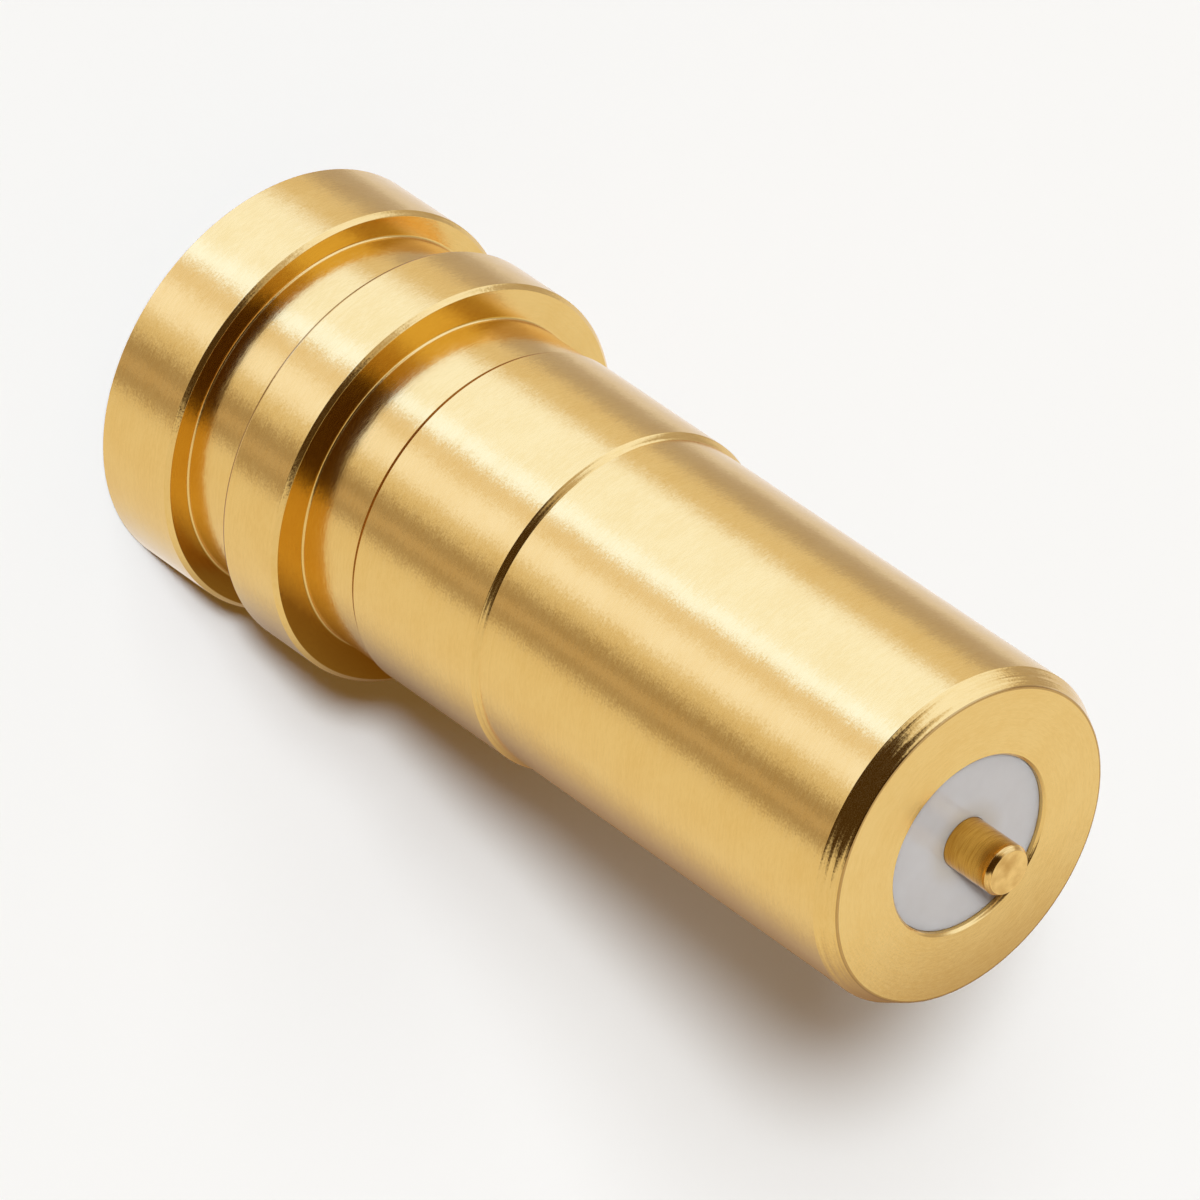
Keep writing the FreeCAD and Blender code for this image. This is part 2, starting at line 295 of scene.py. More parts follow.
# Fine lines round the axis, from noise stretched along the turn. The noise is read at (x, y) over a line's
# length and at the distance along the outline over the lines' spacing, so it has no seam. It tilts the
# normal a little sideways and along the outline, as the crests of turning marks do: short hairlines, long
# rings, a fine grain and soft clouds. A zone is a band of heights and radii, all the way round or only
# beyond an x ("from"), with a tint, its own roughness, more grain (wear) or deeper rings. On the shell
# the tints are painted shade on faces and edges.
def turnedGold(name, **changes):
    look = {**gold, **changes}
    material, tree = newMaterial(name)
    place = scaled(tree, addNode(tree, "TexCoord").outputs["Object"], 1000.0)
    uvMap = addNode(tree, "UVMap", uv_map="turning").outputs["UV"]
    flat = addNode(tree, "SeparateXYZ", {0: place})
    x, y = flat.outputs["X"], flat.outputs["Y"]
    along = addNode(tree, "SeparateXYZ", {0: uvMap}).outputs["Y"]

    def streaks(kind, length, spacing):
        steps = [mathNode(tree, "MULTIPLY_ADD", value, 1 / size, look["shifts"][kind])
                 for value, size in ((x, length), (y, length), (along, spacing))]
        lines = addNode(tree, "CombineXYZ", {0: steps[0], 1: steps[1], 2: steps[2]}).outputs[0]
        return evenNoise(tree, lines, detail=look["details"][kind])

    radius = vectorNode(tree, "LENGTH", addNode(tree, "CombineXYZ", {0: x, 1: y}).outputs[0])
    shares = {}
    for key, zone in look["zones"].items():
        share = 1.0
        if "from" in zone:
            share = smoothRange(tree, x, zone["from"] - look["sideFade"], zone["from"] + look["sideFade"])
        for value, low, high in ((flat.outputs["Z"], *zone["heights"]), (radius, *zone["radii"])):
            rising = smoothRange(tree, value, low - zone["fade"], low)
            falling = smoothRange(tree, value, high + zone["fade"], high)
            share = mathNode(tree, "MULTIPLY", share, mathNode(tree, "MULTIPLY", rising, falling))
        shares[key] = share
    hairlines = streaks("hairlines", look["lineLength"], look["lineSpacing"])
    otherHairlines = streaks("otherHairlines", look["lineLength"], look["lineSpacing"])
    ringLines = streaks("rings", look["ringLength"], look["ringSpacing"])
    grain = evenNoise(tree, place, 1 / look["grainSize"], look["details"]["grain"])
    clouds = evenNoise(tree, place, 1 / look["cloudSize"])
    patches = evenNoise(tree, place, look["patchScale"])
    sideways = vectorNode(tree, "NORMALIZE", vectorNode(tree, "CROSS_PRODUCT", (0.0, 0.0, 1.0), place))
    normal = addNode(tree, "NewGeometry").outputs["Normal"]
    lengthways = vectorNode(tree, "CROSS_PRODUCT", normal, sideways)
    grainTilt, ringSwing = look["grainTilt"], 0.0
    for key, zone in look["zones"].items():
        if zone.get("wear"):
            grainTilt = mathNode(tree, "MULTIPLY_ADD", shares[key], zone["wear"], grainTilt)
        if zone.get("rings"):
            ringSwing = mathNode(tree, "MULTIPLY_ADD", shares[key], zone["rings"], ringSwing)
    swing = mathNode(tree, "MULTIPLY", hairlines, look["lineTilt"])
    swing = mathNode(tree, "MULTIPLY_ADD", grain, grainTilt, swing)
    swing = mathNode(tree, "MULTIPLY_ADD", clouds, look["cloudTilt"], swing)
    if look["zones"]:
        deepRings = streaks("deepRings", look["ringLength"], look["ringSpacing"])
        swing = mathNode(tree, "MULTIPLY_ADD", deepRings, ringSwing, swing)
    rise = mathNode(tree, "MULTIPLY", otherHairlines, look["lineTilt"])
    rise = mathNode(tree, "MULTIPLY_ADD", ringLines, look["ringTilt"], rise)
    rise = mathNode(tree, "MULTIPLY_ADD", clouds, look["cloudTilt"], rise)
    leaned = vectorNode(tree, "ADD", normal, scaled(tree, sideways, swing))
    leaned = vectorNode(tree, "ADD", leaned, scaled(tree, lengthways, rise))
    leaned = vectorNode(tree, "NORMALIZE", leaned)
    marks = {"Strength": look["bump"], "Distance": look["bumpHeight"], "Height": ringLines, "Normal": leaned}
    bump = addNode(tree, "Bump", marks)
    roughness = mathNode(tree, "MULTIPLY_ADD", otherHairlines, look["roughnessSpread"], look["roughness"])
    for key, zone in look["zones"].items():
        if zone.get("roughness"):
            more = zone["roughness"] - look["roughness"]
            roughness = mathNode(tree, "MULTIPLY_ADD", shares[key], more, roughness)
    shade = mathNode(tree, "MULTIPLY_ADD", ringLines, look["ringShade"], otherHairlines)
    shade = mathNode(tree, "MULTIPLY_ADD", patches, look["patchShade"], shade)
    light = smoothRange(tree, shade, *look["shadeRange"])
    colour = mixColour(tree, light, look["deepColour"], look["colour"])
    # Tints: painted shade on the shell's faces and edges, and on the pin wall a deeper, darker gold than at
    # its end
    for key, zone in look["zones"].items():
        if zone.get("tint"):
            tinted = vectorNode(tree, "MULTIPLY", colour, zone["tint"])
            colour = mixColour(tree, shares[key], colour, tinted)
    tangent = addNode(tree, "Tangent", direction_type="UV_MAP", uv_map="turning").outputs[0]
    surface = addNode(tree, "BsdfPrincipled", {
        "Base Color": colour,
        "Metallic": 1.0,
        "Roughness": roughness,
        "Anisotropic": look["anisotropy"],
        "Anisotropic Rotation": look["anisotropyTurn"],
        "Tangent": tangent,
        "Normal": bump.outputs["Normal"],
    })
    addNode(tree, "OutputMaterial", {"Surface": surface.outputs[0]})
    return material


# Fine gold-plated wire: brighter and duller along its length, with faint drawing marks along it
wire = {
    "colour": (0.92, 0.62, 0.22),
    "dullColour": (0.72, 0.43, 0.13),
    "roughness": 0.24,
    "roughnessSpread": 0.12,
    "patchLength": 1.4,
    "patchDetail": 3.0,
    "patchRange": (0.3, 0.65),
    "marksRound": 6.0,
    "marksScale": 1.5,
    "bump": 0.15,
    "bumpHeight": 0.000004,
}


def fineWire(name):
    material, tree = newMaterial(name)
    uvMap = addNode(tree, "UVMap", uv_map="winding").outputs["UV"]
    split = addNode(tree, "SeparateXYZ", {0: uvMap})
    lengthwise = mathNode(tree, "DIVIDE", split.outputs["Y"], wire["patchLength"])
    around = mathNode(tree, "MULTIPLY", split.outputs["X"], wire["marksRound"])
    patchPlace = addNode(tree, "CombineXYZ", {0: lengthwise}).outputs[0]
    patches = noise(tree, patchPlace, detail=wire["patchDetail"])
    marksPlace = addNode(tree, "CombineXYZ", {0: lengthwise, 1: around}).outputs[0]
    marks = noise(tree, marksPlace, wire["marksScale"])
    light = smoothRange(tree, patches, *wire["patchRange"])
    colour = mixColour(tree, light, wire["dullColour"], wire["colour"])
    bump = addNode(tree, "Bump", {"Strength": wire["bump"], "Distance": wire["bumpHeight"], "Height": marks})
    spread = wire["roughnessSpread"]
    roughness = mathNode(tree, "MULTIPLY_ADD", marks, spread, wire["roughness"] - spread / 2)
    surface = addNode(tree, "BsdfPrincipled", {
        "Base Color": colour,
        "Metallic": 1.0,
        "Roughness": roughness,
        "Normal": bump.outputs["Normal"],
    })
    addNode(tree, "OutputMaterial", {"Surface": surface.outputs[0]})
    return material


# White insulator, waxy and faintly translucent
ptfe = {
    "colour": (0.537, 0.497, 0.463),
    "shadeColour": (0.507, 0.464, 0.43),
    # painted warm bounce and shade from the gold, near the axis
    "glowColour": (0.49, 0.415, 0.335),
    "glow": (0.45, 0.95),
    "roughness": 0.055,
    "index": 1.5,
    "depth": 0.6,
    "scatter": (1.0, 0.95, 0.9),
    "scatterDepth": 0.0008,
    "ringSpacing": 0.05,
    "ringSlant": 0.8,
    "roughnessSpread": 0.06,
    "cloudScale": 1.1,
    "cloudDetail": (3.0, 0.55),
    "cloudRange": (0.3, 0.7),
    "bump": 0.08,
    "bumpHeight": 0.00001,
}


# Soft clouds in the colour, painted warm bounce and shade from the gold near the axis, and faint rings from
# facing
def waxyPlastic(name, **changes):
    look = {**ptfe, **changes}
    material, tree = newMaterial(name)
    place = scaled(tree, addNode(tree, "TexCoord").outputs["Object"], 1000.0)
    uvMap = addNode(tree, "UVMap", uv_map="turning").outputs["UV"]
    along = addNode(tree, "SeparateXYZ", {0: uvMap}).outputs["Y"]
    flat = addNode(tree, "SeparateXYZ", {0: place})
    rings = addNode(tree, "CombineXYZ", {
        0: mathNode(tree, "MULTIPLY", flat.outputs["X"], look["ringSlant"]),
        1: mathNode(tree, "MULTIPLY", flat.outputs["Y"], look["ringSlant"]),
        2: mathNode(tree, "DIVIDE", along, look["ringSpacing"]),
    }).outputs[0]
    facing = noise(tree, rings)
    clouds = noise(tree, place, look["cloudScale"], *look["cloudDetail"])
    light = smoothRange(tree, clouds, *look["cloudRange"])
    colour = mixColour(tree, light, look["shadeColour"], look["colour"])
    level = addNode(tree, "CombineXYZ", {0: flat.outputs["X"], 1: flat.outputs["Y"]}).outputs[0]
    # Painted bounced light and shade: warmer and darker near the gold on the axis, out to the "glow" radii
    away = smoothRange(tree, vectorNode(tree, "LENGTH", level), *look["glow"])
    colour = mixColour(tree, away, look["glowColour"], colour)
    marks = {"Strength": look["bump"], "Distance": look["bumpHeight"], "Height": facing}
    bump = addNode(tree, "Bump", marks)
    spread = look["roughnessSpread"]
    roughness = mathNode(tree, "MULTIPLY_ADD", facing, spread, look["roughness"] - spread / 2)
    surface = addNode(tree, "BsdfPrincipled", {
        "Base Color": colour,
        "Roughness": roughness,
        "IOR": look["index"],
        "Subsurface Weight": look["depth"],
        "Subsurface Radius": look["scatter"],
        "Subsurface Scale": look["scatterDepth"],
        "Normal": bump.outputs["Normal"],
    })
    addNode(tree, "OutputMaterial", {"Surface": surface.outputs[0]})
    return material


shellZones = {
    # Painted shade: the flange and collar faces in the groove are tinted darker and browner from x = -3.3 mm
    # across
    "flangeFaceShade": {"heights": (1.81, 1.85), "radii": (3.50, 3.865), "from": -3.3, "fade": 0.01,
                   "tint": (0.81, 0.72, 0.30)},
    "collarFaceShade": {"heights": (4.73, 4.77), "radii": (3.29, 3.82), "from": -3.1, "fade": 0.01,
                   "tint": (0.81, 0.72, 0.30)},
    # Painted shade: thin dark lines on the rear edge breaks of the collar and the land, for the shade at
    # each step
    "collarEdgeShade": {"heights": (3.31, 3.36), "radii": (3.86, 3.95), "fade": 0.006,
                   "tint": (0.46, 0.37, 0.25)},
    "landEdge": {"heights": (6.10, 6.19), "radii": (3.25, 3.36), "fade": 0.004,
                 "tint": (0.44, 0.28, 0.09)},
    "flangeRim": {"heights": (1.74, 1.84), "radii": (3.86, 3.97), "fade": 0.01,
                  "wear": 0.06, "rings": 0.15},
    "collarRim": {"heights": (4.66, 4.76), "radii": (3.81, 3.92), "fade": 0.01,
                  "wear": 0.06, "rings": 0.15},
    "step": {"heights": (9.36, 9.45), "radii": (3.195, 3.31), "fade": 0.01, "rings": 0.4},
    "bevel": {"heights": (18.12, 18.46), "radii": (2.99, 3.21), "fade": 0.02, "rings": 0.45, "wear": 0.08},
    # Painted shade: a thin darker line along the nose's outer edge, where the bevel meets the face
    "noseLine": {"heights": (18.46, 18.49), "radii": (2.968, 3.02), "fade": 0.006,
                 "tint": (0.64, 0.58, 0.55)},
    "mouth": {"heights": (18.36, 18.48), "radii": (1.68, 1.75), "fade": 0.006, "rings": 0.5},
}
pinZones = {
    "wall": {"heights": (13.0, 19.36), "radii": (0.47, 0.70), "fade": 0.006,
             "tint": (0.95, 0.82, 0.43), "roughness": 0.15, "rings": 0.32},
    "bevel": {"heights": (19.37, 19.45), "radii": (0.42, 0.49), "fade": 0.01, "rings": 0.3},
    "end": {"heights": (19.46, 19.47), "radii": (0.0, 0.41), "fade": 0.01, "rings": 0.14, "wear": 0.08},
}
shellGold = turnedGold("shellGold", zones=shellZones)
pinGold = turnedGold("pinGold", zones=pinZones, colour=(0.97, 0.63, 0.21), deepColour=(0.64, 0.36, 0.09),
                     lineSpacing=0.022, lineLength=0.3, roughness=0.17, anisotropy=0.6,
                     ringTilt=0.07, ringLength=0.6, ringSpacing=0.035, grainTilt=0.05)
wireGold = fineWire("wireGold")
rodGold = turnedGold("rodGold", lineSpacing=0.05, lineLength=0.6, roughness=0.3)
bushGold = turnedGold("bushGold", lineSpacing=0.04, lineLength=0.8, roughness=0.28)
whitePtfe = waxyPlastic("whitePtfe")
# The amber bead gets the same painted warm bounce and shade near the gold rod
amberPlastic = waxyPlastic("amberPlastic", colour=(0.62, 0.33, 0.085), shadeColour=(0.52, 0.25, 0.05),
                           glowColour=(0.55, 0.27, 0.06), roughness=0.3, index=1.6, depth=0.25)
print("materials made")


# Outer shell: rear flange, groove, collar, relief, press land, barrel and bevelled nose, then the stepped
# bore from the mouth back to the rear. A "lean" is how far a rear edge slopes in, as a share of its height.
shell = {
    "flangeRadius": 3.95,
    "flangeTop": 1.83,
    "neckRadius": 3.465,
    "neckTop": 3.32,
    "collarRadius": 3.905,
    "collarTop": 4.75,
    "reliefRadius": 3.255,
    "reliefTop": 6.11,
    "landRadius": 3.305,
    "landTaper": 0.01,
    "landTop": 9.35,
    "barrelRadius": 3.2,
    "barrelBase": 9.455,
    "barrelTop": 18.105,
    "noseRadius": 3.0,
    "noseTop": 18.485,
    "noseEdge": 0.03,
    "mouthBevel": 0.05,
    "frontBore": 1.7,
    "boreShoulder": 12.985,
    "mainBore": 2.1,
    "bushSeat": 2.5,
    "bushTop": 2.15,
    "seatLead": 0.15,
    "rimBevel": 0.08,
    "edgeBreak": 0.04,
    "hiddenEdge": 0.06,
    "landEdge": 0.085,
    "rootRound": 0.05,
    "softEdge": 0.012,
    "hiddenRound": 0.006,
    "reliefRound": 0.008,
    "landFootRound": 0.002,
    "stepRound": 0.02,
    "collarLean": 0.4,
    "landLean": 0.5,
}


def makeShell():
    s = shell
    soft, rim, edge, hidden = s["softEdge"], s["rimBevel"], s["edgeBreak"], s["hiddenEdge"]
    hiddenRound, stepRound = s["hiddenRound"], s["stepRound"]
    corners = [
        (s["bushSeat"] + s["seatLead"], 0, soft),
        (s["flangeRadius"] - edge, 0, soft),
        (s["flangeRadius"], edge, soft),
        (s["flangeRadius"], s["flangeTop"] - rim, soft),
        (s["flangeRadius"] - rim, s["flangeTop"], soft),
        (s["neckRadius"], s["flangeTop"], s["rootRound"]),
        (s["neckRadius"], s["neckTop"], s["rootRound"]),
        (s["collarRadius"] - s["collarLean"] * hidden, s["neckTop"], hiddenRound),
        (s["collarRadius"], s["neckTop"] + hidden, hiddenRound),
        (s["collarRadius"], s["collarTop"] - rim, soft),
        (s["collarRadius"] - rim, s["collarTop"], soft),
        (s["reliefRadius"], s["collarTop"], s["rootRound"]),
        (s["reliefRadius"], s["reliefTop"], s["reliefRound"]),
        (s["landRadius"] - s["landLean"] * s["landEdge"], s["reliefTop"], s["landFootRound"]),
        (s["landRadius"], s["reliefTop"] + s["landEdge"], hiddenRound),
        (s["landRadius"] - s["landTaper"], s["landTop"], stepRound),
        (s["barrelRadius"], s["barrelBase"], stepRound),
        (s["barrelRadius"], s["barrelTop"], stepRound),
        (s["noseRadius"], s["noseTop"], s["noseEdge"]),
        (s["frontBore"] + s["mouthBevel"], s["noseTop"], soft),
        (s["frontBore"], s["noseTop"] - s["mouthBevel"], soft),
        (s["frontBore"], s["boreShoulder"], soft),
        (s["mainBore"], s["boreShoulder"], soft),
        (s["mainBore"], s["bushTop"], soft),
        (s["bushSeat"], s["bushTop"], soft),
        (s["bushSeat"], s["seatLead"], soft),
    ]
    return turnedPiece("shell", corners, closed=True, around=288)


dress(makeShell(), shellGold, "outer_shell")
print("shell made")


# What is stacked in the bore: the heights where the pieces meet, from the rear, then radii, bevels and the
# corners' roundings
stack = {
    "wadRear": 0.15,
    "bushRear": 0.25,
    "insulatorRear": 0.30,
    "rodRear": 3.75,
    "beadRear": 7.0,
    "ringRear": 8.5,
    "beadFront": 9.0,
    "rodFront": 9.70,
    "pinRear": 13.30,
    "pinShoulder": 14.10,
    "insulatorFront": 18.365,
    "pinFront": 19.465,
    "wadHole": 0.65,
    "pinHole": 0.484,
    "ringHole": 0.92,
    "outside": 2.09,
    "frontOutside": 1.696,
    "rearOutside": 1.89,
    "bushInside": 1.9,
    "pinRadius": 0.48,
    "pinShoulderRadius": 0.62,
    "rodRadius": 0.63,
    "ringRadius": 0.90,
    "bevel": 0.06,
    "bushBevel": 0.15,
    "rodBevel": 0.08,
    "tipBevel": 0.1,
    "tightRound": 0.01,
    "plasticRound": 0.02,
    "metalRound": 0.015,
    "faceRound": 0.012,
    "holeRound": 0.006,
}


# Each outline is a list of corners: radius, height and rounding. Those of the pin and the rod start and end
# on the axis.
def insideOutlines():
    s = stack
    bevel, tight, soft, metal = s["bevel"], s["tightRound"], s["plasticRound"], s["metalRound"]
    hole, outside, seat, bushTop = s["wadHole"], s["outside"], shell["boreShoulder"], shell["bushTop"]
    beadRear, beadFront, ringRear = s["beadRear"], s["beadFront"], s["ringRear"]
    rearOutside, bushInside, bushSeat = s["rearOutside"], s["bushInside"], shell["bushSeat"]
    pin, shoulder, rod, rodBevel = s["pinRadius"], s["pinShoulderRadius"], s["rodRadius"], s["rodBevel"]
    return {
        "frontInsulator": [
            (hole, beadFront, tight),
            (outside - bevel, beadFront, soft),
            (outside, beadFront + bevel, soft),
            (outside, seat - bevel, soft),
            (outside - bevel, seat, soft),
            (s["frontOutside"], seat, tight),
            (s["frontOutside"], s["insulatorFront"], s["faceRound"]),
            (s["pinHole"], s["insulatorFront"], s["holeRound"]),
            (s["pinHole"], s["pinShoulder"], tight),
            (hole, s["pinShoulder"], tight),
        ],
        "centreBead": [
            (hole, beadRear, tight),
            (outside - bevel, beadRear, soft),
            (outside, beadRear + bevel, soft),
            (outside, beadFront - bevel, soft),
            (outside - bevel, beadFront, soft),
            (s["ringHole"], beadFront, tight),
            (s["ringHole"], ringRear, tight),
            (hole, ringRear, tight),
        ],
        "rearInsulator": [
            (hole, s["insulatorRear"], soft),
            (rearOutside - bevel, s["insulatorRear"], soft),
            (rearOutside, s["insulatorRear"] + bevel, soft),
            (rearOutside, bushTop, tight),
            (outside, bushTop, soft),
            (outside, beadRear - bevel, soft),
            (outside - bevel, beadRear, soft),
            (hole, beadRear, tight),
        ],
        "retainingBush": [
            (bushInside + s["bushBevel"], s["bushRear"], metal),
            (bushSeat, s["bushRear"], tight),
            (bushSeat, bushTop - s["bushBevel"], metal),
            (bushSeat - s["bushBevel"], bushTop, metal),
            (bushInside, bushTop, tight),
            (bushInside, s["bushRear"] + s["bushBevel"], metal),
        ],
        "contactPin": [
            (0, s["pinRear"], 0),
            (shoulder - bevel, s["pinRear"], tight),
            (shoulder, s["pinRear"] + bevel, tight),
            (shoulder, s["pinShoulder"] - bevel, tight),
            (shoulder - bevel, s["pinShoulder"], tight),
            (pin, s["pinShoulder"], tight),
            (pin, s["pinFront"] - s["tipBevel"], s["faceRound"]),
            (pin - bevel, s["pinFront"], s["faceRound"]),
            (0, s["pinFront"], 0),
        ],
        "centreRod": [
            (0, s["rodRear"], 0),
            (rod - rodBevel, s["rodRear"], metal),
            (rod, s["rodRear"] + rodBevel, metal),
            (rod, ringRear, tight),
            (s["ringRadius"], ringRear, metal),
            (s["ringRadius"], beadFront, metal),
            (rod, beadFront, tight),
            (rod, s["rodFront"] - rodBevel, metal),
            (rod - rodBevel, s["rodFront"], metal),
            (0, s["rodFront"], 0),
        ],
    }


# Insulators, bead, bush, sprung pin and fixed centre rod, with the number of their faces round the axis
insidePieces = {
    "frontInsulator": {"node": "front_insulator", "material": whitePtfe, "around": 192},
    "centreBead": {"node": "centre_bead", "material": amberPlastic, "around": 192},
    "rearInsulator": {"node": "rear_insulator", "material": whitePtfe, "around": 192},
    "retainingBush": {"node": "retaining_bush", "material": bushGold, "around": 192},
    "contactPin": {"node": "contact_pin", "body": "pin", "material": pinGold, "around": 128},
    "centreRod": {"node": "centre_rod", "material": rodGold, "around": 128},
}
for name, corners in insideOutlines().items():
    row = insidePieces[name]
    piece = turnedPiece(name, corners, closed=corners[0][0] > 0, around=row["around"])
    dress(piece, row["material"], row["node"], row.get("body", "housing"))
print("insulators, bead, bush, pin and rod made")


# Wads of fine wire, one tangled wire each
wads = {
    "frontWad": {"node": "front_fuzz_button", "low": stack["rodFront"], "high": stack["pinRear"], "seed": 5},
    "rearWad": {"node": "rear_fuzz_button", "low": stack["wadRear"], "high": stack["rodRear"], "seed": 11},
}
wad = {
    "radius": 0.635,
    "wireRadius": 0.027,
    "points": 7000,
    "sides": 6,
    "samples": 60000,
    "across": {"turns": 96, "swing": 2.4},
    "angle": {"turns": 31, "swing": 2.8},
    "height": {"turns": 27, "swing": 2.6},
    "waves": 8,
    "waveHeights": (0.4, 1.0),
    "waveFall": 0.6,
    "waveRates": (6, 18),
    "firstSide": (0.3, 0.5, 0.8),
    "endBulge": 0.5,
    "keep": 0.861,
}


# A smooth wandering angle along the wire: a steady climb plus seeded sine waves of falling height
def wander(draws, share, path):
    count = wad["waves"]
    order = np.arange(1, count + 1)
    waves = draws.uniform(*wad["waveHeights"], count) * path["swing"] / order ** wad["waveFall"]
    rates = draws.uniform(*wad["waveRates"], count) * order
    starts = draws.uniform(0, 2 * np.pi, count)
    climb = 2 * np.pi * path["turns"]
    return climb * share + (waves * np.sin(rates * share[:, None] * 2 * np.pi + starts)).sum(1)


# The wire's middle line goes to and fro across the wad and along it: at the share s of its length the signed
# distance from the axis is R sin p(s), the angle is q(s) and the height is the middle plus H sin r(s), where
# p, q and r wander. Its points are then spread evenly by length. Returns them and their distances along it.
def tangledLine(name, row):
    draws = np.random.default_rng(row["seed"])
    share = np.linspace(0, 1, wad["samples"])
    across, angle, height = [wander(draws, share, wad[key]) for key in ("across", "angle", "height")]
    reach = wad["radius"] - wad["wireRadius"]
    distance = reach * np.sin(across)
    middle = (row["low"] + row["high"]) / 2
    half = (row["high"] - row["low"]) / 2 - wad["wireRadius"]
    line = np.stack([distance * np.cos(angle), distance * np.sin(angle), middle + half * np.sin(height)], 1)
    travelled = np.concatenate([[0], np.cumsum(np.linalg.norm(np.diff(line, axis=0), axis=1))])
    print(name, "wire length in mm:", round(float(travelled[-1])))
    stops = np.linspace(0, travelled[-1], wad["points"])
    line = np.stack([np.interp(stops, travelled, line[:, axis]) for axis in range(3)], 1)
    return line, stops


# Two directions across the line at each point, carried along it without twist. The turn from one unit
# tangent to the next is cI + [v] + vv' / (1 + c), where v is their cross product, [v] its matrix and c their
# cosine. The turns up to each point are multiplied up by doubling.
def carriedSides(tangent):
    before, after = tangent[:-1], tangent[1:]
    axis = np.cross(before, after)
    cosine = (before * after).sum(1)
    zero = np.zeros(len(axis))
    ax, ay, az = axis.T
    crossed = np.stack([zero, -az, ay, az, zero, -ax, -ay, ax, zero], 1)
    turns = np.eye(3) * cosine[:, None, None] + crossed.reshape(-1, 3, 3)
    turns = turns + axis[:, :, None] * axis[:, None] / (1 + cosine)[:, None, None]
    turns = np.concatenate([np.eye(3)[None], turns])
    step = 1
    while step < len(turns):
        turns = np.concatenate([turns[:step], turns[step:] @ turns[:-step]])
        step *= 2
    start = np.cross(tangent[0], wad["firstSide"])
    start /= np.linalg.norm(start)
    firstSide = turns @ start
    return firstSide, np.cross(tangent, firstSide)


# The wire is a tube: at each point of its line a circle of the wire's radius across it, with blunt ends
def makeWad(name, row):
    line, stops = tangledLine(name, row)
    tangent = np.gradient(line, axis=0)
    tangent /= np.linalg.norm(tangent, axis=1)[:, None]
    firstSide, secondSide = carriedSides(tangent)
    turn = 2 * np.pi * np.arange(wad["sides"]) / wad["sides"]
    normals = firstSide[:, None] * np.cos(turn)[:, None]
    normals = normals + secondSide[:, None] * np.sin(turn)[:, None]
    vertices = line[:, None] + wad["wireRadius"] * normals
    count, sides = wad["points"], wad["sides"]
    band, place = np.meshgrid(np.arange(count - 1), np.arange(sides), indexing="ij")
    beside = (place + 1) % sides
    quads = np.stack([band * sides + place, band * sides + beside,
                      (band + 1) * sides + beside, (band + 1) * sides + place], -1).reshape(-1)
    low, high = stops[band], stops[band + 1]
    uv = np.stack([place, low, place + 1, low, place + 1, high, place, high], -1)
    uv = uv.reshape(-1, 2) * (1 / sides, 1)
    ends = [count * sides, count * sides + 1]
    around, beside = np.arange(sides), (np.arange(sides) + 1) % sides
    last = (count - 1) * sides
    caps = [np.stack([beside, around, np.full(sides, ends[0])], 1),
            np.stack([last + around, last + beside, np.full(sides, ends[1])], 1)]
    bulge = wad["endBulge"] * wad["wireRadius"]
    tips = np.stack([line[0] - bulge * tangent[0], line[-1] + bulge * tangent[-1]])
    loops = np.concatenate([quads, caps[0].reshape(-1), caps[1].reshape(-1)])
    sizes = np.concatenate([np.full(len(quads) // 4, 4), np.full(2 * sides, 3)])
    uv = np.concatenate([uv, np.zeros((6 * sides, 2))])
    allNormals = np.concatenate([normals.reshape(-1, 3), [-tangent[0], tangent[-1]]])
    vertices = np.concatenate([vertices.reshape(-1, 3), tips])
    return meshPiece(name, vertices, loops, sizes, uv, allNormals, "winding")


for name, row in wads.items():
    piece = makeWad(name, row)
    dress(piece, wireGold, row["node"])
    if name == "frontWad":
        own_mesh(piece)
print("wire wads made")


